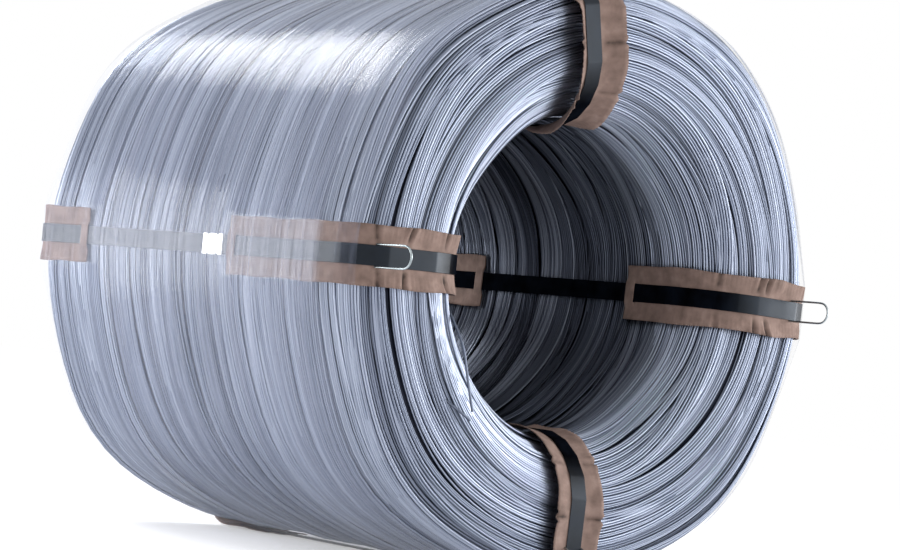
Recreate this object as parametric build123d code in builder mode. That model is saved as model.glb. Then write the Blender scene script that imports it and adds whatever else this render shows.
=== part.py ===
from build123d import *
from math import cos, pi, radians, sin, sqrt, tan
import os

# Coil of drawn steel wire, lying on its side: axis along Y, open end with the hoops at -Y, +Z up.
# The origin is on the floor, under the middle of the whole package. All lengths are in millimetres.

# Winding
coil_diameter = 800.0
bore_diameter = 420.0
coil_length = 770.0
outer_shoulder = 50.0
inner_shoulder = 95.0
end_turns = 9
turn_relief = 3.0

# Straps, four round the section of the winding
strap_width = 25.4
strap_thickness = 0.9
outer_kinks = 3
inner_kinks = 4
strap_angles = {"right": 0.0, "top": 103.0, "left": 182.0, "bottom": 270.0}

# Crimped seals
seal_length = 44.0
seal_wall = 0.8
seal_gap = 12.0
notch_width = 6.0
notch_depth = 3.2
notch_spacing = 20.0

# Slotted paper pads, one at each end of each strap
pad_width = 76.0
pad_thickness = 3.2
pad_loop_length = 18.0
pad_loop_wall = 1.4
pad_loop_shoulder = 4.0
front_pad_outer_reach = 230.0
front_pad_bore_reach = 78.0
back_pad_outer_reach = 104.0
back_pad_bore_reach = 191.0
top_pad_slip = 60.0

# Wire hoops that stand out of the front end beside the straps
hoop_wire = 2.2
hoop_length = 72.0
hoop_sides = 8
hoop_angles = {"right": 90.0, "left": 60.0, "bottom": 90.0}
hoop_tilts = {"right": 0.0, "left": 0.0, "bottom": 25.0}

# Stretch film round the outside
film_thickness = 0.5
film_angle = 45.0
film_slope = 30.0
film_ease = 1.0

# Clearances
fit_gap = 0.3
seat_gap = 0.1

coil_radius = coil_diameter / 2
bore_radius = bore_diameter / 2
half_length = coil_length / 2
strap_outset = pad_thickness
bore_seat = bore_radius - sqrt(bore_radius**2 - (pad_width / 2) ** 2) + seat_gap
strap_top = strap_outset + strap_thickness
loop_top = strap_top + fit_gap + pad_loop_wall
film_outset = loop_top + fit_gap
film_outer = film_outset + film_thickness

# The front pads reach far over the outside, the back pads far into the bore
front_reach = half_length + pad_thickness + hoop_length
back_reach = half_length + strap_top
axis_height = coil_radius + film_outer
axis_point = Vector(0, (front_reach - back_reach) / 2, axis_height)
coil_axis = Axis(axis_point, (0, 1, 0))


def section_plane(angle):
    """Plane through the coil's axis: local X runs along the axis, local Y outwards at the angle."""
    turn = radians(angle)
    return Plane(origin=axis_point, x_dir=(0, 1, 0), z_dir=(sin(turn), 0, -cos(turn)))


def cross_plane(angle, along):
    """Plane square to the coil's axis: local X runs round the coil, local Y outwards at the angle."""
    turn = radians(angle)
    origin = axis_point + Vector(0, along, 0)
    return Plane(origin=origin, x_dir=(-sin(turn), 0, cos(turn)), z_dir=(0, 1, 0))


def corner(centre, reach, start, kinks):
    """Corners of the flats that are bent round a quarter circle, each touching it once."""
    bend = 90 / kinks
    tip = reach / cos(radians(bend / 2))
    turns = [radians(start + bend * (step + 0.5)) for step in range(kinks)]
    return [(centre[0] + tip * cos(turn), centre[1] + tip * sin(turn)) for turn in turns]


def kinked_section(outset):
    """Section round the winding, grown all round by the outset and kinked at the shoulders as
    steel strap is. In the bore a flat pad touches the round wall with its edges."""
    outer = (half_length - outer_shoulder, coil_radius - outer_shoulder)
    inner = (half_length - inner_shoulder, bore_radius - bore_seat + inner_shoulder)
    outer_reach = outer_shoulder + outset
    inner_reach = inner_shoulder + outset
    points = corner(outer, outer_reach, 0, outer_kinks)
    points += corner((-outer[0], outer[1]), outer_reach, 90, outer_kinks)
    points += corner((-inner[0], inner[1]), inner_reach, 180, inner_kinks)
    points += corner(inner, inner_reach, 270, inner_kinks)
    with BuildSketch() as section:
        with BuildLine():
            Polyline(*points, close=True)
        make_face()
    return section.sketch


def end_outline(turns):
    """Points down one end: a crest for each turn of wire and a valley between each two."""
    face = coil_radius - bore_radius - outer_shoulder - inner_shoulder
    outer_arc = outer_shoulder * pi / 2
    inner_arc = inner_shoulder * pi / 2
    pitch = (outer_arc + face + inner_arc) / turns
    points = []
    for step in range(2 * turns + 1):
        run = step * pitch / 2
        sink = turn_relief if step % 2 else 0.0
        if run <= outer_arc:
            turn = run / outer_shoulder
            along = half_length - outer_shoulder + (outer_shoulder - sink) * sin(turn)
            radius = coil_radius - outer_shoulder + (outer_shoulder - sink) * cos(turn)
        elif run <= outer_arc + face:
            along = half_length - sink
            radius = coil_radius - outer_shoulder - (run - outer_arc)
        else:
            turn = min((run - outer_arc - face) / inner_shoulder, pi / 2)
            along = half_length - inner_shoulder + (inner_shoulder - sink) * cos(turn)
            radius = bore_radius + inner_shoulder - (inner_shoulder - sink) * sin(turn)
        points.append((along, radius))
    return points


def finish(part, name):
    part.label = name
    export_step(part, f"parts/{name}.step")


os.makedirs("parts", exist_ok=True)

# Winding: one turned solid, its turns standing out as ridges on both ends
with BuildPart() as wire_coil:
    with BuildSketch(section_plane(90)):
        back_end = end_outline(end_turns)
        front_end = [(-along, radius) for along, radius in reversed(back_end)]
        with BuildLine():
            Polyline(*back_end, *front_end, close=True)
        make_face()
    revolve(axis=coil_axis)
finish(wire_coil.part, "wire_coil")


def strap(angle):
    """Flat band pulled tight round the section, over the pads."""
    with BuildPart() as band:
        with BuildSketch(section_plane(angle)):
            add(kinked_section(strap_top))
            add(kinked_section(strap_outset), mode=Mode.SUBTRACT)
        extrude(amount=strap_width / 2, both=True)
    return band.part


def seal(angle, slip):
    """Sleeve crimped round the strap just behind the front pad, with two notches in each edge."""
    middle = -half_length + outer_shoulder + front_pad_outer_reach + slip + seal_gap + seal_length / 2
    wide = strap_width + 2 * seal_wall
    tall = strap_thickness + 2 * seal_wall
    centre = coil_radius + strap_outset + strap_thickness / 2
    with BuildPart() as sleeve:
        with BuildSketch(cross_plane(angle, middle)):
            with Locations((0, centre)):
                Rectangle(wide, tall)
                Rectangle(strap_width, strap_thickness, mode=Mode.SUBTRACT)
        extrude(amount=seal_length / 2, both=True)
        top = section_plane(angle)
        face_origin = axis_point + Vector(0, middle, 0) + top.y_dir * (centre - tall)
        with BuildSketch(Plane(origin=face_origin, x_dir=(0, 1, 0), z_dir=top.y_dir)):
            for side in (-1, 1):
                for end in (-1, 1):
                    with BuildLine():
                        place = end * notch_spacing / 2
                        edge = side * (wide / 2 + fit_gap)
                        tip = side * (wide / 2 - notch_depth)
                        half = notch_width / 2
                        Polyline((place - half, edge), (place, tip), (place + half, edge), close=True)
                    make_face()
        extrude(amount=2 * tall, mode=Mode.SUBTRACT)
    return sleeve.part


def pad(angle, end, outer_reach, bore_reach):
    """Paper pad bent over one end of the coil. The strap lies on it and passes under a loop of
    paper at each of its ends."""
    middle = (coil_radius + bore_radius) / 2
    outer_stop = half_length - outer_shoulder - outer_reach
    bore_stop = half_length - inner_shoulder - bore_reach
    reach = half_length + 2 * pad_thickness
    high = coil_radius + 2 * pad_thickness
    low = bore_radius - bore_seat - 2 * pad_thickness
    keep = [(outer_stop, high), (reach, high), (reach, low), (bore_stop, low), (bore_stop, middle)]
    keep.append((outer_stop, middle))
    with BuildPart() as body:
        with BuildSketch(section_plane(angle)):
            add(kinked_section(pad_thickness))
            add(kinked_section(0), mode=Mode.SUBTRACT)
            with BuildLine():
                Polyline(*[(end * along, radius) for along, radius in keep], close=True)
            make_face(mode=Mode.INTERSECT)
        extrude(amount=pad_width / 2, both=True)
        loops = ((outer_stop, coil_radius, 1), (bore_stop, bore_radius - bore_seat, -1))
        for stop, base, outward in loops:
            with BuildSketch(cross_plane(angle, end * stop)):
                with BuildLine():
                    Polyline(*loop_outline(base, outward), close=True)
                make_face()
            extrude(amount=end * pad_loop_length)
            with BuildSketch(cross_plane(angle, end * stop)):
                with BuildLine():
                    Polyline(*slot_outline(base, outward), close=True)
                make_face()
            extrude(amount=end * pad_loop_length, mode=Mode.SUBTRACT)
    return body.part


def loop_outline(base, outward):
    """Outline of a loop across the strap, from the wires at the base up over the strap and down."""
    foot = pad_width / 2
    knee = strap_width / 2 + pad_loop_shoulder
    heights = [(-foot, 0), (-foot, pad_thickness), (-knee, loop_top), (knee, loop_top)]
    heights += [(foot, pad_thickness), (foot, 0)]
    return [(across, base + outward * height) for across, height in heights]


def slot_outline(base, outward):
    """Outline of the slot in a loop that the strap passes through."""
    half = strap_width / 2 + fit_gap
    roof = strap_top + fit_gap
    heights = [(-half, 0), (-half, roof), (half, roof), (half, 0)]
    return [(across, base + outward * height) for across, height in heights]


def hoop(angle, shoulder_angle, tilt):
    """Wire bent to a U. Its legs stand on the pad beside the strap, as far round the shoulder as
    the shoulder angle says, and reach forward. The tilt turns them outwards."""
    spread = strap_width / 2 + fit_gap + hoop_wire / 2
    plane = section_plane(angle)
    across = plane.z_dir
    swing = radians(tilt)
    forward = plane.y_dir * sin(swing) - Vector(0, cos(swing), 0)
    lift = hoop_wire / 2 * tan(radians(abs(90 - shoulder_angle - tilt)))
    turn = radians(shoulder_angle)
    along = half_length - outer_shoulder + (outer_shoulder + pad_thickness) * sin(turn)
    radius = coil_radius - outer_shoulder + (outer_shoulder + pad_thickness) * cos(turn)
    root = axis_point + plane.y_dir * radius - Vector(0, along, 0) + forward * lift
    bend = root + forward * (hoop_length - lift - spread - hoop_wire / 2)
    with BuildPart() as wire:
        with BuildLine():
            Line(root + across * spread, bend + across * spread)
            ThreePointArc(bend + across * spread, bend + forward * spread, bend - across * spread)
            Line(bend - across * spread, root - across * spread)
        with BuildSketch(Plane(origin=root + across * spread, x_dir=across, z_dir=forward)):
            RegularPolygon(hoop_wire / 2, hoop_sides)
        sweep()
    return wire.part


def film_outline(radius):
    """Film pulled tight round the coil and over the pads: a circle with a flat at each strap."""
    knee = strap_width / 2 + pad_loop_shoulder
    foot = pad_width / 2
    profile = [(-foot, pad_thickness), (-knee, loop_top), (knee, loop_top), (foot, pad_thickness)]
    with BuildSketch() as outline:
        with BuildLine():
            CenterArc((0, 0), radius, 0, 360)
            for angle in strap_angles.values():
                turn = radians(angle)
                outwards = Vector(cos(turn), sin(turn))
                sideways = Vector(-sin(turn), cos(turn))
                for across, height in profile:
                    Line((0, 0), outwards * (radius + height) + sideways * across)
        make_hull()
    return outline.sketch


def film_plane(along):
    """Plane square to the coil's axis, facing the front end."""
    return Plane(origin=axis_point + Vector(0, along, 0), x_dir=(1, 0, 0), z_dir=(0, -1, 0))


def film_body(slack):
    """Solid inside the film, drawn in over the shoulders of the coil at both ends."""
    touch = outer_shoulder * tan(radians(film_slope / 2))
    straight = half_length - outer_shoulder + touch + film_ease
    radius = coil_radius + slack
    drop = outer_shoulder * tan(radians(film_slope))
    with BuildPart() as body:
        with BuildSketch(film_plane(0)):
            add(film_outline(radius))
        extrude(amount=straight, both=True)
        for end in (-1, 1):
            with BuildSketch(film_plane(end * straight)):
                add(film_outline(radius))
            with BuildSketch(film_plane(end * (straight + outer_shoulder))):
                add(film_outline(radius - drop))
            loft(ruled=True)
    return body.part


for name, angle in strap_angles.items():
    slip = top_pad_slip if name == "top" else 0.0
    finish(strap(angle), f"strap_{name}")
    finish(seal(angle, slip), f"seal_{name}")
    front = pad(angle, -1, front_pad_outer_reach + slip, front_pad_bore_reach - slip)
    finish(front, f"pad_front_{name}")
    back = pad(angle, 1, back_pad_outer_reach, back_pad_bore_reach)
    finish(back, f"pad_back_{name}")

for name, tilt in hoop_tilts.items():
    finish(hoop(strap_angles[name], hoop_angles[name], tilt), f"wire_hoop_{name}")

# Stretch film: a thin sleeve over straps, pads and seals, turned over both shoulders
film_edge = half_length - outer_shoulder + outer_shoulder * sin(radians(film_angle))
with BuildPart() as stretch_film:
    add(film_body(fit_gap + film_thickness))
    add(film_body(fit_gap), mode=Mode.SUBTRACT)
    with Locations(axis_point):
        Box(2 * coil_diameter, 2 * film_edge, 2 * coil_diameter, mode=Mode.INTERSECT)
finish(stretch_film.part, "stretch_film")
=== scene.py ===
import math

import bpy
import numpy as np
from mathutils import Matrix, Vector


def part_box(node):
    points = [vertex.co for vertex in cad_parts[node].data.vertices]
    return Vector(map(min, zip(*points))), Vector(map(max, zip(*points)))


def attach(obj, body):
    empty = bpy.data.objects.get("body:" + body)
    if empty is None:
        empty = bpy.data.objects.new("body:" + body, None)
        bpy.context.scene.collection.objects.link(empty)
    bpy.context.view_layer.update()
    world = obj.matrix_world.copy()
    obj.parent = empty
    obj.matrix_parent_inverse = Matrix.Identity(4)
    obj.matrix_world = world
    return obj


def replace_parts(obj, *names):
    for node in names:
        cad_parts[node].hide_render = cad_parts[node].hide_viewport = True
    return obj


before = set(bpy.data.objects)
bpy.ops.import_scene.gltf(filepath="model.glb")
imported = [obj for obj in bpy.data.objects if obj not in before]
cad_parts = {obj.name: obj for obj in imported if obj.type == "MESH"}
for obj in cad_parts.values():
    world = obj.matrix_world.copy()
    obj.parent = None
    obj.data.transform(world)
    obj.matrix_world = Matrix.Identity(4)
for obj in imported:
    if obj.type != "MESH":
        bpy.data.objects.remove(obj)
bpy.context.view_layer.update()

rng = np.random.default_rng(7)
full_turn = 2 * math.pi

# Sizes of the winding, in metres as all sizes here
coil_low, coil_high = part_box("wire_coil")
coil_centre = (np.array(coil_low) + np.array(coil_high)) / 2
coil_radius = (coil_high[0] - coil_low[0]) / 2
half_length = (coil_high[1] - coil_low[1]) / 2
bore_radius = 0.210
outer_shoulder = 0.050
inner_shoulder = 0.095
wire_radius = 0.00175
wire_pitch = 0.0036
core_depth = 0.0085

# How the winding swells between its straps, as shares of its radius
outward_swell = 0.019
strap_waist = 0.0139
bore_swell = 0.028

# Straps
strap_degrees = {"right": 0, "top": 103, "left": 182, "bottom": 270}
strap_angles = {side: math.radians(turn) for side, turn in strap_degrees.items()}
strap_width = 0.0254
strap_thickness = 0.0009
strap_outset = 0.0032
strap_top = strap_outset + strap_thickness
bore_seat = 0.00357
outer_kinks = 4
inner_kinks = 5

# Paper pads
pad_width = 0.076
pad_sheet = 0.0011
pad_seat = strap_outset - 0.0009
pad_slot_gap = 0.0006
pad_row_step = 0.0021
pad_loop_length = 0.018
pad_loop_shoulder = 0.004
loop_top = 0.0058
front_pad_reach, front_pad_bore_reach = 0.230, 0.078
back_pad_reach, back_pad_bore_reach = 0.104, 0.191
top_pad_slip = 0.060

# Wire hoops
hoop_wire_radius = 0.0014
hoop_reach = 0.0705
hoop_spread = 0.0141

# Stretch film
film_gap = 0.0012
film_slope = math.radians(30)
film_turn_in = math.radians(45)
film_pad_edge = 0.0052
floor_gap = 0.0003

# Lengths along the rounded section of the winding, from where the front shoulder begins on the
# outside, over the front end and through the bore
outer_arc = outer_shoulder * math.pi / 2
inner_arc = inner_shoulder * math.pi / 2
face_run = coil_radius - bore_radius - outer_shoulder - inner_shoulder
outside_run = 2 * (half_length - outer_shoulder)
bore_run = 2 * (half_length - inner_shoulder)
end_run = outer_arc + face_run + inner_arc
section_run = 2 * end_run + outside_run + bore_run


def section(run, seat=0.0):
    """Point and outward normal of the coil's rounded section at a distance along it, with the
    bore drawn in by a seat. Returns along, radius, normal along, normal out."""
    end = end_run + seat
    total = section_run + 2 * seat
    flat = face_run + seat
    run = np.mod(run + outside_run / 2, total) - outside_run / 2
    sign = np.where(run > end + bore_run / 2, -1.0, 1.0)
    run = np.where(sign < 0, 2 * end + bore_run - run, run)
    outer_turn = np.clip(run / outer_shoulder, 0, math.pi / 2)
    inner_turn = np.clip((run - outer_arc - flat) / inner_shoulder, 0, math.pi / 2)
    on_outer = run < outer_arc
    on_inner = run >= outer_arc + flat
    along = -half_length + outer_shoulder * (1 - np.sin(outer_turn)) - np.minimum(run, 0)
    along = np.where(on_inner, -half_length + inner_shoulder * (1 - np.cos(inner_turn)), along)
    along = along + np.maximum(run - end, 0)
    radius = coil_radius - outer_shoulder * (1 - np.cos(outer_turn))
    radius = radius - np.clip(run - outer_arc, 0, flat)
    radius = radius - np.where(on_inner, inner_shoulder * np.sin(inner_turn), 0)
    normal_along = np.where(on_inner, -np.cos(inner_turn), -1.0)
    normal_along = np.where(on_outer, -np.sin(outer_turn), normal_along)
    normal_out = np.where(on_inner, -np.sin(inner_turn), 0.0)
    normal_out = np.where(on_outer, np.cos(outer_turn), normal_out)
    return along * sign, radius, normal_along * sign, normal_out


def swell(angle, radius):
    """Factor by which the winding bulges outwards and into the bore between its straps, and is
    waisted beside them."""
    weight = (radius - bore_radius) / (coil_radius - bore_radius)
    straps = [*strap_angles.values(), full_turn]
    phase = math.pi * np.interp(np.mod(angle, full_turn), straps, range(len(straps)))
    outwards = outward_swell * np.sin(phase) ** 2 - strap_waist * np.sin(2 * phase) ** 2
    return 1 + weight * outwards - (1 - weight) * bore_swell * np.sin(phase) ** 4


def winding_points(run, depth, angle):
    """Points in the winding at a distance along its section, a depth under its surface and an
    angle round it, and the surface's normals there."""
    along, radius, normal_along, normal_out = section(run)
    out = radius - normal_out * depth
    out = out * swell(angle, out)
    cos, sin = np.cos(angle), np.sin(angle)
    points = np.stack([out * cos, along - normal_along * depth, out * sin], -1) + coil_centre
    normals = np.stack([normal_out * cos, normal_along, normal_out * sin], -1)
    return points, normals


def directions_at(angle):
    """Directions outwards from the coil's axis and sideways round it, at an angle."""
    cos, sin = math.cos(angle), math.sin(angle)
    return np.array([cos, 0, sin]), np.array([-sin, 0, cos])


def link_piece(name, data, material):
    """Object of a mesh or curve in the scene, with its material, riding on the coil."""
    thing = bpy.data.objects.new(name, data)
    bpy.context.scene.collection.objects.link(thing)
    thing.data.materials.append(material)
    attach(thing, "root")
    return thing


def make_object(name, points, faces, material, tone=None):
    """Smooth piece of quads, with a tone at each point for its material."""
    mesh = bpy.data.meshes.new(name)
    mesh.vertices.add(len(points))
    mesh.vertices.foreach_set("co", np.ascontiguousarray(points, dtype=np.float32).ravel())
    mesh.loops.add(faces.size)
    mesh.loops.foreach_set("vertex_index", np.ascontiguousarray(faces, dtype=np.int32).ravel())
    mesh.polygons.add(len(faces))
    mesh.polygons.foreach_set("loop_start", np.arange(0, faces.size, 4, dtype=np.int32))
    mesh.polygons.foreach_set("use_smooth", np.ones(len(faces), dtype=bool))
    mesh.update(calc_edges=True)
    mesh.validate()
    if tone is not None:
        layer = mesh.attributes.new("tone", "FLOAT", "POINT")
        layer.data.foreach_set("value", np.ascontiguousarray(tone, dtype=np.float32).ravel())
    return link_piece(name, mesh, material)


def grid_faces(rows, columns, closed_rows, closed_columns):
    """Quads of a grid of points, joined up at its ends where it is closed."""
    row, column = np.meshgrid(
        np.arange(rows if closed_rows else rows - 1),
        np.arange(columns if closed_columns else columns - 1),
        indexing="ij",
    )
    after, beside = (row + 1) % rows, (column + 1) % columns
    corners = [(row, column), (row, beside), (after, beside), (after, column)]
    quads = [down * columns + across for down, across in corners]
    return np.stack(quads, -1).reshape(-1, 4)


def smooth_noise(x, y, scale_x, scale_y, count=24):
    """Sum of random plane waves over two coordinates, about -1 to 1."""
    slowest, usual_peak = 0.4, 1.6
    total = np.zeros(np.broadcast(x, y).shape)
    for _ in range(count):
        turn = rng.uniform(0, full_turn)
        pace = full_turn * rng.uniform(slowest, 1.0)
        wave_x, wave_y = pace * math.cos(turn) / scale_x, pace * math.sin(turn) / scale_y
        total += np.cos(x * wave_x + y * wave_y + rng.uniform(0, full_turn))
    return total / math.sqrt(count / 2) / usual_peak


def smooth_step(value):
    """Even rise from 0 to 1, for a value clipped to 0 and 1."""
    return value * value * (3 - 2 * value)


def round_wave(angle, lobes, size):
    """Smooth random wave round the coil with a few lobes."""
    total = np.zeros_like(angle)
    for lobe in range(1, lobes + 1):
        height = rng.normal(0, size / lobe)
        total = total + height * np.cos(lobe * angle + rng.uniform(0, full_turn))
    return total


def bundles(start, stop, pitch, fill, depth, relief, sway, steps):
    """Turns of wire laid in bundles between two distances on the section. Each bundle sways along
    the section as it goes round, and dips in places under its neighbours."""
    fewest, most = 3, 8
    dive_lobes, dive_size = 3, 1.2
    crown = 0.35
    wire_sway, wire_drop = 0.0005, 0.0002
    angle = np.arange(steps) * full_turn / steps
    centres, normals, tones = [], [], []
    here = start
    while here < stop:
        count = int(rng.integers(fewest, most + 1))
        width = count * pitch
        shift = round_wave(angle, 3, sway)
        dive = relief * 0.5 * (1 + np.tanh(round_wave(angle, dive_lobes, dive_size)))
        tone = rng.uniform(0, 1)
        for number in range(count):
            place_in = (2 * number - count + 1) / count
            run = here + width / 2 * (1 + place_in) + shift + round_wave(angle, 4, wire_sway)
            down = wire_radius + depth + dive + relief * crown * place_in**2
            down = down + np.abs(round_wave(angle, 5, wire_drop))
            points, across = winding_points(run, down, angle)
            centres.append(points)
            normals.append(across)
            tones.append(np.full(steps, 0.5 * tone + 0.5 * rng.uniform(0, 1)))
        here += width / fill
    return np.array(centres), np.array(normals), np.array(tones)


def wires(name, layers, steps, sides, material):
    """Closed turns of round wire in several layers, joined as one mesh."""
    made = [bundles(steps=steps, **layer) for layer in layers]
    centres, normals, tones = (np.concatenate([layer[part] for layer in made]) for part in range(3))
    tangents = np.roll(centres, -1, axis=1) - np.roll(centres, 1, axis=1)
    tangents /= np.linalg.norm(tangents, axis=2, keepdims=True)
    across = np.cross(tangents, normals)
    across /= np.linalg.norm(across, axis=2, keepdims=True)
    up = np.cross(across, tangents)
    turn = (np.arange(sides) * full_turn / sides)[:, None]
    points = up[:, :, None] * np.cos(turn) + across[:, :, None] * np.sin(turn)
    points = centres[:, :, None] + wire_radius * points
    one = grid_faces(steps, sides, True, True)
    first = (np.arange(len(centres)) * steps * sides)[:, None, None]
    faces = (one[None] + first).reshape(-1, 4)
    tone = np.repeat(tones[:, :, None], sides, axis=2)
    return make_object(name, points.reshape(-1, 3), faces, material, tone)


def core(name, steps, material):
    """Ribbed body of deeper turns that closes the gaps between the bundles, dark with painted shade."""
    rows = 2 * int(section_run / wire_pitch)
    run = (np.arange(rows) * section_run / rows)[:, None]
    angle = (np.arange(steps) * full_turn / steps)[None]
    ribs = np.where(np.arange(rows) % 2 == 0, 0.0, 2 * wire_radius)[:, None]
    points, _ = winding_points(run + 0 * angle, core_depth + ribs, angle + 0 * run)
    faces = grid_faces(rows, steps, True, True)
    return make_object(name, points.reshape(-1, 3), faces, material)


def band_points(angle, run, height, across, end):
    """Points on a flat band at a strap's angle: distance along the section from the front (end -1)
    or back (end 1) shoulder, height above the wires and distance across the band."""
    along, radius, normal_along, normal_out = section(run, bore_seat)
    outwards, sideways = directions_at(angle)
    out = radius + normal_out * height
    points = out[..., None] * outwards + across[..., None] * sideways
    points[..., 1] += -end * (along + normal_along * height)
    return points + coil_centre


def creped_paper(along, aside, away, creases):
    """Height of a pad's paper over the wires, and how much shade is painted along its creases. Each
    crease has its distance along the pad, its depth and its slant."""
    rib_height, rib_pitch = 0.0005, 0.0062
    rise, pucker_height, wave_height = 0.0003, 0.0030, 0.0012
    crease_width, full_depth = 0.0030, 0.004
    wobble = smooth_noise(along, aside, 0.05, 0.06)
    ribs = rib_height * away * np.sin(full_turn * along / rib_pitch + wobble)
    pucker = 0.5 + 0.5 * smooth_noise(along, aside, 0.045, 0.05)
    height = pad_seat + ribs + away * (rise + pucker_height * pucker**2)
    height = height + away**3 * wave_height * smooth_noise(along, 0 * aside, 0.06, 1.0)
    crease_shade = np.zeros_like(along)
    for at, depth, slant in creases:
        fold = (along - at - slant * aside) / crease_width
        ridge = np.exp(-((fold - 2) ** 2)) + np.exp(-((fold + 2) ** 2))
        height = height + away * depth * (0.8 * ridge - np.exp(-(fold**2)))
        # Darker in the crease valleys, more for deeper creases: painted shade
        crease_shade = crease_shade + depth / full_depth * np.exp(-(fold**2)) * np.clip(3 * away, 0, 1)
    return height, crease_shade


def pad(name, angle, end, start, stop, creases, lift, shift, material):
    """Creped paper pad between two distances on the section. The strap presses its middle down,
    its sides pucker, fold at the creases and lift off the end, shifted sideways, and its end
    strips pass over the strap."""
    side_columns = 7
    film_end, ceiling, ceiling_rise, ceiling_run = 0.045, 0.0040, 0.006, 0.02
    lift_run, lift_end = 0.030, 0.050
    side_wave, loop_slope, loop_drop, lowest = 0.0010, 0.008, 0.0005, 0.0008
    rows = int((stop - start) / pad_row_step)
    run = np.linspace(start, stop, rows)
    half = pad_width / 2
    slot = strap_width / 2 + pad_slot_gap
    side = np.linspace(slot, half, side_columns)
    middle = np.linspace(-slot, slot, side_columns)[1:-1]
    across = np.concatenate([-side[::-1], middle, side])
    along, aside = np.meshgrid(run, across, indexing="ij")
    away = np.clip((np.abs(aside) - slot) / (half - slot), 0, 1)
    height, crease_shade = creped_paper(along, aside, away, creases)
    under_film = ceiling + ceiling_rise * np.clip((along - film_end) / ceiling_run, 0, 1)
    height = np.minimum(height, under_film)
    on_end = np.clip((along - film_end) / lift_run, 0, 1) * np.clip((stop - along) / lift_end, 0, 1)
    height = height + lift * away**1.5 * on_end
    wave = smooth_noise(along, 0 * aside, 0.07, 1.0)
    shifted = aside + np.sign(aside) * away * side_wave * wave - shift * away * on_end
    strip = np.minimum(run - start, stop - run) < pad_loop_length
    over = smooth_step(np.clip(1 - (np.abs(aside) - slot) / loop_slope, 0, 1))
    raised = height + over * (loop_top - pad_seat - loop_drop)
    height = np.where(strip[:, None], raised, height)
    points = band_points(angle, along, np.maximum(height, lowest), shifted, end)
    keep = np.ones((rows - 1, len(across) - 1), dtype=bool)
    inside = np.abs(across[:-1] + across[1:]) / 2 < slot
    keep[np.ix_(strip[:-1] != strip[1:], inside)] = False
    faces = grid_faces(rows, len(across), False, False)[keep.reshape(-1)]
    piece = make_object(name, points.reshape(-1, 3), faces, material, crease_shade)
    sheet = piece.modifiers.new("sheet", "SOLIDIFY")
    sheet.thickness = pad_sheet
    sheet.offset = 0
    return piece


def strap_path():
    """Places (along, radius) round the section of a strap's middle, kinked at the shoulders, with
    each kink eased by three points and each flat divided."""
    kink_ease, kink_lift, flat_step = 0.0020, 0.0007, 0.02
    bore_corner = bore_radius - bore_seat + inner_shoulder
    outer = (half_length - outer_shoulder, coil_radius - outer_shoulder, outer_shoulder, outer_kinks)
    inner = (half_length - inner_shoulder, bore_corner, inner_shoulder, inner_kinks)
    path = []
    for end, begin, corner in ((-1, 90, outer), (-1, 180, inner), (1, 270, inner), (1, 0, outer)):
        centre_along, centre_radius, shoulder, kinks = corner
        reach = (shoulder + strap_outset + strap_thickness / 2) / math.cos(math.radians(45 / kinks))
        for step in range(kinks):
            turn = math.radians(begin + 90 * (step + 0.5) / kinks)
            along = end * centre_along + reach * math.cos(turn)
            path.append((along, centre_radius + reach * math.sin(turn)))
    kinked = np.array(path)
    before, after = np.roll(kinked, 1, axis=0), np.roll(kinked, -1, axis=0)
    eased = []
    for here, last, following in zip(kinked, before, after):
        back = (last - here) / np.linalg.norm(last - here)
        on = (following - here) / np.linalg.norm(following - here)
        eased += [here + back * kink_ease, here + (back + on) * kink_lift, here + on * kink_ease]
        flat = np.linalg.norm(following - here)
        for share in np.linspace(0, 1, max(int(flat / flat_step), 2) + 1)[1:-1]:
            eased.append(here + on * (kink_ease + (flat - 2 * kink_ease) * share))
    return np.array(eased)


def strap(name, angle, material):
    """Steel band with eased edges on the kinked path. Its tone is how bright its gloss is, turned down in
    the bore as painted shade."""
    edge_ease, sharp_angle = 0.0003, math.radians(25)
    bore_shade_depth, bore_shade_run = 0.03, 0.05
    path = strap_path()
    tangent = np.roll(path, -1, axis=0) - np.roll(path, 1, axis=0)
    tangent /= np.linalg.norm(tangent, axis=1, keepdims=True)
    normal = np.stack([-tangent[:, 1], tangent[:, 0]], -1)
    middle = np.array([0, (coil_radius + bore_radius) / 2])
    normal *= np.sign(((path - middle) * normal).sum(1, keepdims=True))
    half, thick = strap_width / 2, strap_thickness / 2
    side, flank = half - edge_ease, thick - edge_ease
    across = np.array([-half, -half, -side, side, half, half, side, -side])
    lift = np.array([-flank, flank, thick, thick, flank, -flank, -thick, -thick])
    spot = path[:, None] + normal[:, None] * lift[None, :, None]
    outwards, sideways = directions_at(angle)
    points = spot[..., 1:] * outwards + across[None, :, None] * sideways
    points[..., 1] += spot[..., 0]
    points = (points + coil_centre).reshape(-1, 3)
    faces = grid_faces(len(path), len(across), True, True)
    # Gloss turned down towards the bore stands in for the shade there: painted shade
    gloss_and_bore_shade = np.clip((spot[..., 1] - bore_radius - bore_shade_depth) / bore_shade_run, 0, 1)
    piece = make_object(name, points, faces, material, gloss_and_bore_shade)
    piece.data.set_sharp_from_angle(angle=sharp_angle)
    return piece


def hull_radius(angle, profile, slack):
    """Radius of film pulled tight round the swollen coil and the profile at each strap."""
    steps, least_facing = 720, 0.5
    turn = np.linspace(0, full_turn, steps, endpoint=False)
    skin = (coil_radius + slack) * swell(turn, coil_radius)
    points = np.stack([skin * np.cos(turn), skin * np.sin(turn)], -1)
    for strap_angle in strap_angles.values():
        cos, sin = math.cos(strap_angle), math.sin(strap_angle)
        for across, height in profile:
            out = coil_radius + height + slack
            points = np.vstack([points, [out * cos - across * sin, out * sin + across * cos]])
    support = (points @ np.stack([np.cos(turn), np.sin(turn)])).max(0)
    facing = np.cos(turn[None] - angle[:, None])
    reach = support[None] / np.maximum(facing, least_facing)
    return np.where(facing > least_facing, reach, np.inf).min(1)


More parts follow.
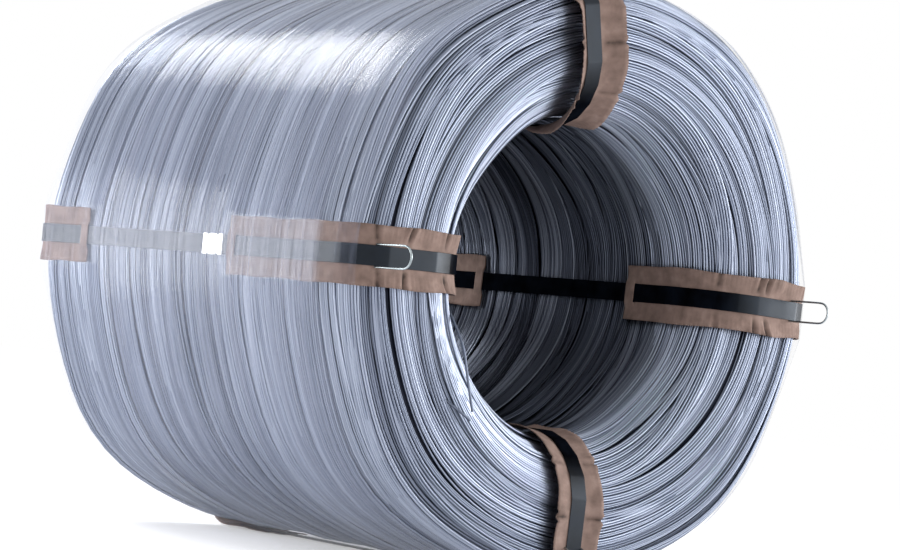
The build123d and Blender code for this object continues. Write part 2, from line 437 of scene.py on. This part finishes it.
def film_haze_and_reflection(from_edge, along, turn, stand_off, ropes):
    """How milky the film is, with painted reflection: a veil behind its front edge, partly haze and
    partly a painted reflection of the lamps, more where it stands off the wires and less over the back
    pads, a painted highlight along the upper front edge, and its ropes."""
    veil_start, veil_run, veil_drift = 0.050, 0.045, 0.010
    veil_strength, stand_off_strength, full_stand_off = 0.25, 0.08, 0.006
    back_share, back_start = 0.55, half_length - outer_shoulder - back_pad_reach - 0.01
    rim_highlight_strength, rim_highlight_width, rim_highlight_tilt = 0.40, 0.040, 0.1
    rope_strength = 0.60
    drift = 0.5 + 0.5 * smooth_noise(turn, along, 0.35, 1.2)
    inside = np.clip((from_edge + veil_drift * drift - veil_start) / veil_run, 0, 1)
    # The veil is partly milky haze and partly a painted reflection of the lamps
    veil_and_reflection = veil_strength + stand_off_strength * np.clip(stand_off / full_stand_off, 0, 1)
    veil_and_reflection = veil_and_reflection * smooth_step(inside) * np.where(along > back_start, back_share, 1.0)
    # Painted highlight along the upper front edge, only on the upper side
    above = np.clip(np.sin(turn - rim_highlight_tilt), 0, 1) ** 0.5
    rim_highlight = rim_highlight_strength * np.exp(-((from_edge / rim_highlight_width) ** 4)) * (0.4 + 0.6 * drift) * above
    return np.clip(veil_and_reflection + rim_highlight + rope_strength * ropes, 0, 1)


def film_radius(angle, turn, along):
    """Radius of the film over straps and pads at places along the coil, turned in over both
    shoulders, and how far it stands off the wires."""
    drape, drape_ease, slip_spread = 0.016, 0.005, 0.5
    foot, knee, half = pad_width / 2, strap_width / 2 + pad_loop_shoulder, strap_width / 2
    pad_profile = [(-foot, film_pad_edge), (-knee, loop_top), (knee, loop_top), (foot, film_pad_edge)]
    over_pad = hull_radius(angle, pad_profile, film_gap)
    over_strap = hull_radius(angle, [(-half, strap_top), (half, strap_top)], film_gap)
    front_pad = half_length - outer_shoulder - front_pad_reach
    back_pad = half_length - outer_shoulder - back_pad_reach
    slip = top_pad_slip * np.exp(-(((turn - strap_angles["top"]) / slip_spread) ** 2))
    on_pad = 1 / (1 + np.exp((along + front_pad - slip - drape) / drape_ease))
    on_pad = on_pad + 1 / (1 + np.exp(-(along - back_pad + drape) / drape_ease))
    radius = over_strap * (1 - on_pad) + over_pad * on_pad
    stand_off = radius - coil_radius * swell(turn, coil_radius)
    past = np.maximum(np.abs(along) - (half_length - outer_shoulder), 0)
    bend = outer_shoulder * math.sin(film_slope)
    arc = outer_shoulder - np.sqrt(outer_shoulder**2 - np.minimum(past, bend) ** 2)
    radius = radius - arc - np.maximum(past - bend, 0) * math.tan(film_slope)
    return radius, stand_off


def stretch_film(name, material):
    """Thin film over the outside, stretched over pads and straps and turned in over both
    shoulders, with ropes of gathered film near its front edge."""
    steps, front_rows, other_rows, front_run = 400, 48, 72, 0.10
    edge_wave, ripple = 0.005, 0.0004
    rope_start, rope_spread, rope_height, rope_warp = 0.036, 0.030, 0.0022, 0.010
    angle = np.arange(steps) * full_turn / steps
    edge = half_length - outer_shoulder * (1 - math.sin(film_turn_in))
    front = np.linspace(0, front_run, front_rows)
    run = np.concatenate([front, np.linspace(front_run, 2 * edge, other_rows)[1:]])
    from_edge, turn = np.meshgrid(run, angle, indexing="ij")
    front_edge = -edge + edge_wave * smooth_noise(np.cos(turn), np.sin(turn), 0.6, 0.6)
    along = front_edge + from_edge / (2 * edge) * (edge - front_edge)
    radius, stand_off = film_radius(angle, turn, along)
    near = np.exp(-(((from_edge - rope_start) / rope_spread) ** 2))
    warp = rope_warp * smooth_noise(np.cos(turn) * 2, np.sin(turn) * 2, 0.7, 0.7)
    ropes = smooth_noise(along + warp, np.cos(turn) * 0.05, 0.011, 0.30, count=40)
    ropes = near * np.maximum(ropes, 0) ** 2
    radius = radius + rope_height * ropes + ripple * smooth_noise(along, turn, 0.05, 0.5)
    points = np.stack([radius * np.cos(turn), along, radius * np.sin(turn)], -1) + coil_centre
    points[..., 2] = np.maximum(points[..., 2], floor_gap)
    haze_and_reflection = film_haze_and_reflection(from_edge, along, turn, stand_off, ropes)
    faces = grid_faces(len(run), steps, False, True)
    return make_object(name, points.reshape(-1, 3), faces, material, haze_and_reflection)


def rod(name, path, radius, material):
    """Round wire along a smooth path."""
    curve = bpy.data.curves.new(name, "CURVE")
    curve.dimensions = "3D"
    curve.bevel_depth = radius
    curve.bevel_resolution = 3
    curve.use_fill_caps = True
    spline = curve.splines.new("NURBS")
    spline.points.add(len(path) - 1)
    for point, spot in zip(spline.points, path):
        point.co = (*spot, 1)
    spline.order_u = 4
    spline.use_endpoint_u = True
    curve.resolution_u = 8
    return link_piece(name, curve, material)


def hoop(name, angle, shoulder_angle, tilt, material):
    """Wire bent to a U, its legs on the pad on both sides of the strap. It stands as far round the
    shoulder as the shoulder angle says and reaches forward, tilted outwards."""
    outwards, sideways = directions_at(angle)
    centre = outer_shoulder + strap_outset
    root_radius = coil_radius - outer_shoulder + centre * math.cos(shoulder_angle)
    root_along = half_length - outer_shoulder + centre * math.sin(shoulder_angle)
    root = coil_centre + outwards * root_radius - np.array([0, root_along, 0])
    forward = outwards * math.sin(tilt) - np.array([0, math.cos(tilt), 0])
    # The shape is in shares of the spread and of the reach, and its feet sink into the pad
    leg = (-0.004, 0.3, 0.6)
    straight = 1 - hoop_spread / hoop_reach
    bow = np.linspace(0, math.pi, 9)
    shape = [(-1, on) for on in leg]
    shape += [(-math.cos(turn), straight + (1 - straight) * math.sin(turn)) for turn in bow]
    shape += [(1, on) for on in reversed(leg)]
    path = [root + sideways * side * hoop_spread + forward * on * hoop_reach for side, on in shape]
    return rod(name, path, hoop_wire_radius, material)


def new_material(name):
    material = bpy.data.materials.new(name)
    material.use_nodes = True
    nodes, links = material.node_tree.nodes, material.node_tree.links
    return material, nodes, links, nodes["Principled BSDF"]


def noise_node(nodes, links, scale, detail=4.0, stretch=(1, 1, 1)):
    """Noise over object coordinates."""
    where = nodes.new("ShaderNodeTexCoord")
    mapping = nodes.new("ShaderNodeMapping")
    mapping.inputs["Scale"].default_value = stretch
    noise = nodes.new("ShaderNodeTexNoise")
    noise.inputs["Scale"].default_value = scale
    noise.inputs["Detail"].default_value = detail
    links.new(where.outputs["Object"], mapping.inputs["Vector"])
    links.new(mapping.outputs["Vector"], noise.inputs["Vector"])
    return noise.outputs["Fac"]


def tone_node(nodes):
    """The tone that each point of a piece was given: a wire's tone, painted shade along creases, gloss
    turned down in the bore as painted shade, or haze with painted reflection.
    """
    node = nodes.new("ShaderNodeAttribute")
    node.attribute_name = "tone"
    return node.outputs["Fac"]


def math_node(nodes, links, operation, *values):
    """Result of an operation on links and plain numbers, each number a float."""
    node = nodes.new("ShaderNodeMath")
    node.operation = operation
    for socket, value in zip(node.inputs, values):
        if isinstance(value, float):
            socket.default_value = value
        else:
            links.new(value, socket)
    return node.outputs["Value"]


def colour_ramp(nodes, links, value, stops):
    ramp = nodes.new("ShaderNodeValToRGB")
    while len(ramp.color_ramp.elements) < len(stops):
        ramp.color_ramp.elements.new(0.5)
    for element, (at, colour) in zip(ramp.color_ramp.elements, stops):
        element.position = at
        element.color = (*colour, 1)
    links.new(value, ramp.inputs["Fac"])
    return ramp.outputs["Color"]


def value_range(nodes, links, value, low, high):
    node = nodes.new("ShaderNodeMapRange")
    node.inputs["To Min"].default_value = low
    node.inputs["To Max"].default_value = high
    links.new(value, node.inputs["Value"])
    return node.outputs["Result"]


def bump(nodes, links, value, shader, distance, strength):
    node = nodes.new("ShaderNodeBump")
    node.inputs["Distance"].default_value = distance
    node.inputs["Strength"].default_value = strength
    links.new(value, node.inputs["Height"])
    links.new(node.outputs["Normal"], shader.inputs["Normal"])


def wire_material(name, stops):
    material, nodes, links, shader = new_material(name)
    shader.inputs["Metallic"].default_value = 1.0
    links.new(colour_ramp(nodes, links, tone_node(nodes), stops), shader.inputs["Base Color"])
    rough = value_range(nodes, links, noise_node(nodes, links, 40.0), 0.26, 0.44)
    links.new(rough, shader.inputs["Roughness"])
    return material


def core_material():
    material, nodes, links, shader = new_material("deep wire in painted shade")
    shader.inputs["Metallic"].default_value = 1.0
    shader.inputs["Roughness"].default_value = 0.5
    # Near black: painted shade of the turns deep in the winding, which are the same wire
    stops = [(0.3, (0.010, 0.012, 0.020)), (0.7, (0.04, 0.045, 0.065))]
    colour = colour_ramp(nodes, links, noise_node(nodes, links, 9.0), stops)
    links.new(colour, shader.inputs["Base Color"])
    return material


def paper_material():
    """Brown paper, mottled, and darker along its creases with painted shade."""
    material, nodes, links, shader = new_material("creped kraft paper")
    shader.inputs["Roughness"].default_value = 0.85
    mottle = noise_node(nodes, links, 60.0, 6.0)
    shade = math_node(nodes, links, "MULTIPLY_ADD", tone_node(nodes), -0.45, mottle)
    stops = [
        (0.0, (0.05, 0.032, 0.026)),
        (0.25, (0.18, 0.120, 0.098)),
        (0.55, (0.28, 0.190, 0.158)),
        (0.8, (0.38, 0.27, 0.23)),
    ]
    links.new(colour_ramp(nodes, links, shade, stops), shader.inputs["Base Color"])
    bump(nodes, links, noise_node(nodes, links, 900.0, 3.0), shader, 0.0003, 0.6)
    return material


def strap_material():
    """Black lacquer that reflects a bluish light, and less of it in the bore as painted shade."""
    material, nodes, links, shader = new_material("black lacquered steel")
    gloss_and_bore_shade = value_range(nodes, links, tone_node(nodes), 0.0, 0.34)
    links.new(gloss_and_bore_shade, shader.inputs["Specular IOR Level"])
    stops = [(0.3, (0.0015, 0.0015, 0.002)), (0.7, (0.005, 0.007, 0.012))]
    colour = colour_ramp(nodes, links, noise_node(nodes, links, 35.0), stops)
    links.new(colour, shader.inputs["Base Color"])
    rough = value_range(nodes, links, noise_node(nodes, links, 90.0), 0.24, 0.40)
    links.new(rough, shader.inputs["Roughness"])
    shader.inputs["Specular Tint"].default_value = (0.72, 0.84, 1.0, 1)
    return material


def bright_metal(name, stops, colour_scale, rough_scale, smoothest, roughest):
    """Bare metal, mottled in its colour and in its roughness."""
    material, nodes, links, shader = new_material(name)
    shader.inputs["Metallic"].default_value = 1.0
    colour = colour_ramp(nodes, links, noise_node(nodes, links, colour_scale), stops)
    links.new(colour, shader.inputs["Base Color"])
    rough = value_range(nodes, links, noise_node(nodes, links, rough_scale), smoothest, roughest)
    links.new(rough, shader.inputs["Roughness"])
    return material


def film_material():
    """Clear film with streaks along its stretch, as milky as its haze and painted reflection say."""
    material, nodes, links, shader = new_material("clear stretch film")
    streaks = noise_node(nodes, links, 60.0, 2.0, (0.10, 3.0, 0.10))
    streaked = value_range(nodes, links, streaks, 0.50, 1.50)
    veil_and_reflection = math_node(nodes, links, "MULTIPLY", streaked, tone_node(nodes))
    veil_and_reflection = math_node(nodes, links, "MINIMUM", veil_and_reflection, 1.0)
    lowest = math_node(nodes, links, "MAXIMUM", veil_and_reflection, 0.06)
    links.new(lowest, shader.inputs["Alpha"])
    # Pale lilac for the veil, partly haze and partly the painted reflection of the lamps
    stops = [(0.3, (0.36, 0.43, 0.62)), (0.7, (0.58, 0.64, 0.86))]
    links.new(colour_ramp(nodes, links, streaks, stops), shader.inputs["Base Color"])
    shader.inputs["Specular IOR Level"].default_value = 1.0
    links.new(value_range(nodes, links, streaks, 0.08, 0.20), shader.inputs["Roughness"])
    bump(nodes, links, streaks, shader, 0.0014, 0.6)
    return material


# Wires of the winding
wire_stops = [(0.0, (0.13, 0.15, 0.20)), (0.5, (0.29, 0.325, 0.41)), (1.0, (0.50, 0.55, 0.66))]
# The wires in the bore are the same wire as in front, painted darker as the shade inside the bore
bore_shade_stops = [(0.0, (0.03, 0.035, 0.05)), (0.6, (0.11, 0.125, 0.165)), (1.0, (0.30, 0.33, 0.40))]
wire = wire_material("galvanised wire", wire_stops)
bore_wire_in_shade = wire_material("wire in the bore, darkened as painted shade", bore_shade_stops)
front_under = dict(start=-0.02, stop=end_run + 0.03, pitch=wire_pitch, fill=1.0)
front_over = dict(start=-0.015, stop=end_run + 0.02, pitch=0.0037, fill=0.92)
front_layers = [
    dict(depth=0.0045, relief=0.003, sway=0.004, **front_under),
    dict(depth=0.0, relief=0.0035, sway=0.007, **front_over),
]
bore_span = dict(start=end_run + 0.01, stop=end_run + bore_run - 0.01)
bore_layers = [
    dict(pitch=0.0040, fill=1.0, depth=0.0045, relief=0.003, sway=0.006, **bore_span),
    dict(pitch=0.0038, fill=0.85, depth=0.0, relief=0.004, sway=0.008, **bore_span),
]
back_span = dict(start=end_run + bore_run - 0.01, stop=2 * end_run + bore_run + 0.03)
back_layers = [dict(pitch=0.0040, fill=0.95, depth=0.003, relief=0.004, sway=0.005, **back_span)]
outside_under = dict(start=-outside_run - 0.01, stop=0.01, pitch=0.0042, fill=1.0)
outside_over = dict(start=-outside_run, stop=0.0, pitch=0.0040, fill=0.80)
outside_layers = [
    dict(depth=0.0035, relief=0.002, sway=0.004, **outside_under),
    dict(depth=0.0, relief=0.004, sway=0.006, **outside_over),
]
winding = [
    wires("wires_front", front_layers, steps=112, sides=5, material=wire),
    wires("wires_bore", bore_layers, steps=80, sides=4, material=bore_wire_in_shade),
    wires("wires_back", back_layers, steps=72, sides=5, material=wire),
    wires("wires_outside", outside_layers, steps=72, sides=4, material=wire),
    core("wires_core", steps=56, material=core_material()),
]

# Ends of two turns that have come loose at the left of the bore, as places from the coil's centre
loose_ends = {
    "wire_end_long": [
        (-0.232, -0.362, -0.070),
        (-0.226, -0.384, -0.100),
        (-0.220, -0.389, -0.125),
        (-0.215, -0.391, -0.150),
        (-0.203, -0.394, -0.189),
    ],
    "wire_end_short": [(-0.240, -0.372, -0.175), (-0.226, -0.388, -0.186), (-0.203, -0.391, -0.200)],
}
for name, spots in loose_ends.items():
    path = [coil_centre + np.array(spot) for spot in spots]
    winding.append(rod(name, path, wire_radius, wire))
for piece in winding:
    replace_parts(piece, "wire_coil")

# Pads and straps. Each crease has its distance along the pad, its depth and its slant.
paper = paper_material()
band = strap_material()
pad_creases = {
    "right": [(0.052, 0.0030, 0.05), (0.128, 0.0040, 0.06), (0.144, 0.0035, -0.05), (0.200, 0.0025, 0)],
    "top": [(0.060, 0.0030, 0.05), (0.118, 0.0030, -0.06), (0.185, 0.0030, 0.04)],
    "left": [(0.054, 0.0040, 0.10), (0.094, 0.0045, -0.08), (0.160, 0.0035, 0.05), (0.245, 0.0025, 0.06)],
    "bottom": [(0.062, 0.0030, 0.05), (0.118, 0.0035, 0), (0.190, 0.0025, 0.04)],
}
pad_lifts = {"right": 0.004, "top": 0.014, "left": 0.004, "bottom": 0.004}
pad_shifts = {"right": 0.0, "top": 0.008, "left": 0.0, "bottom": 0.0}
pad_slips = {"right": 0.0, "top": top_pad_slip, "left": 0.0, "bottom": 0.0}
back_lift = 0.003
bore_start = end_run + bore_seat
back_start, back_stop = -back_pad_reach, bore_start + back_pad_bore_reach
for side, angle in strap_angles.items():
    creases, lift, shift, slip = pad_creases[side], pad_lifts[side], pad_shifts[side], pad_slips[side]
    start, stop = -front_pad_reach - slip, bore_start + front_pad_bore_reach - slip
    piece = pad(f"paper_front_{side}", angle, -1, start, stop, creases, lift, shift, paper)
    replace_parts(piece, f"pad_front_{side}")
    piece = pad(f"paper_back_{side}", angle, 1, back_start, back_stop, creases, back_lift, 0.0, paper)
    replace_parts(piece, f"pad_back_{side}")
    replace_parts(strap(f"band_{side}", angle, band), f"strap_{side}")

# Hoops, with how far round the shoulder they stand and their tilt in degrees
hoop_stops = [(0.3, (0.22, 0.26, 0.28)), (0.7, (0.46, 0.51, 0.53))]
hoop_wire = bright_metal("hoop wire", hoop_stops, 60.0, 150.0, 0.2, 0.35)
for side, shoulder_degrees, tilt_degrees in (("right", 90, 0), ("left", 60, 0), ("bottom", 90, 25)):
    shoulder_angle, tilt = math.radians(shoulder_degrees), math.radians(tilt_degrees)
    piece = hoop(f"hoop_{side}", strap_angles[side], shoulder_angle, tilt, hoop_wire)
    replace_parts(piece, f"wire_hoop_{side}")

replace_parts(stretch_film("film", film_material()), "stretch_film")

zinc_stops = [(0.3, (0.90, 0.91, 0.93)), (0.7, (0.98, 0.98, 0.98))]
zinc = bright_metal("bright zinc seal", zinc_stops, 80.0, 200.0, 0.3, 0.45)
for side in strap_angles:
    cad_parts[f"seal_{side}"].data.materials[0] = zinc

# Camera, from the photograph. Its place is given in radii of the coil from the coil's centre.
image_width = 900
focal_pixels = 2877.5
sensor_width = 36.0
camera_radii = (-6.3433, -7.8958, -0.4028)
yaw, pitch, roll = (math.radians(turn) for turn in (39.402, 2.206, 7.019))
camera_data = bpy.data.cameras.new("camera")
camera = bpy.data.objects.new("camera", camera_data)
bpy.context.scene.collection.objects.link(camera)
bpy.context.scene.camera = camera
look = Vector((math.sin(yaw) * math.cos(pitch), math.cos(yaw) * math.cos(pitch), math.sin(pitch)))
level = Vector((math.cos(yaw), -math.sin(yaw), 0))
above = level.cross(look)
right = level * math.cos(roll) + above * math.sin(roll)
up = above * math.cos(roll) - level * math.sin(roll)
camera_turn = Matrix((right, up, -look)).transposed().to_4x4()
camera_place = Vector(np.array(camera_radii) * coil_radius + coil_centre)
camera.matrix_world = Matrix.Translation(camera_place) @ camera_turn
camera_data.sensor_width = sensor_width
camera_data.lens = sensor_width * focal_pixels / image_width
camera_data.clip_end = 100.0


def seen_directly(nodes, links):
    """1 for what the camera sees, directly or in metal and through film, otherwise 0."""
    path = nodes.new("ShaderNodeLightPath")
    value = path.outputs["Is Camera Ray"]
    for other in ("Is Glossy Ray", "Is Transmission Ray"):
        value = math_node(nodes, links, "MAXIMUM", value, path.outputs[other])
    return value


floor_material, nodes, links, shader = new_material("white floor")
shader.inputs["Base Color"].default_value = (0.85, 0.85, 0.87, 1)
shader.inputs["Roughness"].default_value = 1.0
shader.inputs["Specular IOR Level"].default_value = 0.0
shader.inputs["Emission Color"].default_value = (1, 1, 1, 1)
glow = value_range(nodes, links, seen_directly(nodes, links), 0.0, 0.45)
links.new(glow, shader.inputs["Emission Strength"])
bpy.ops.mesh.primitive_plane_add(size=80)
floor = bpy.context.active_object
floor.name = "floor"
floor.data.materials.append(floor_material)

world = bpy.data.worlds.new("studio")
bpy.context.scene.world = world
world.use_nodes = True
nodes, links = world.node_tree.nodes, world.node_tree.links
nodes["Background"].inputs["Color"].default_value = (1, 1, 1, 1)
glow = value_range(nodes, links, seen_directly(nodes, links), 0.65, 1.0)
links.new(glow, nodes["Background"].inputs["Strength"])


def softbox(name, at, target, size, power):
    """Rectangular lamp that faces a target."""
    data = bpy.data.lights.new(name, "AREA")
    data.shape = "RECTANGLE"
    data.size, data.size_y = size
    data.energy = power
    lamp = bpy.data.objects.new(name, data)
    bpy.context.scene.collection.objects.link(lamp)
    lamp.location = at
    lamp.rotation_mode = "QUATERNION"
    lamp.rotation_quaternion = (Vector(target) - Vector(at)).to_track_quat("-Z", "Y")


softbox("top", at=(-0.65, 2.27, 2.50), target=(-0.3, -0.1, 0.7), size=(1.5, 0.9), power=52)
softbox("side", at=(-1.10, 1.05, 0.41), target=(-0.4, 0.05, 0.4), size=(0.9, 0.76), power=9)
softbox("front", at=(1.4, -3.8, 1.15), target=(0, 0, 0.4), size=(2.2, 2.0), power=28)
softbox("fill", at=(3.6, -2.0, 1.15), target=(0, 0, 0.4), size=(2.4, 2.2), power=110)

bpy.context.scene.view_settings.view_transform = "Standard"
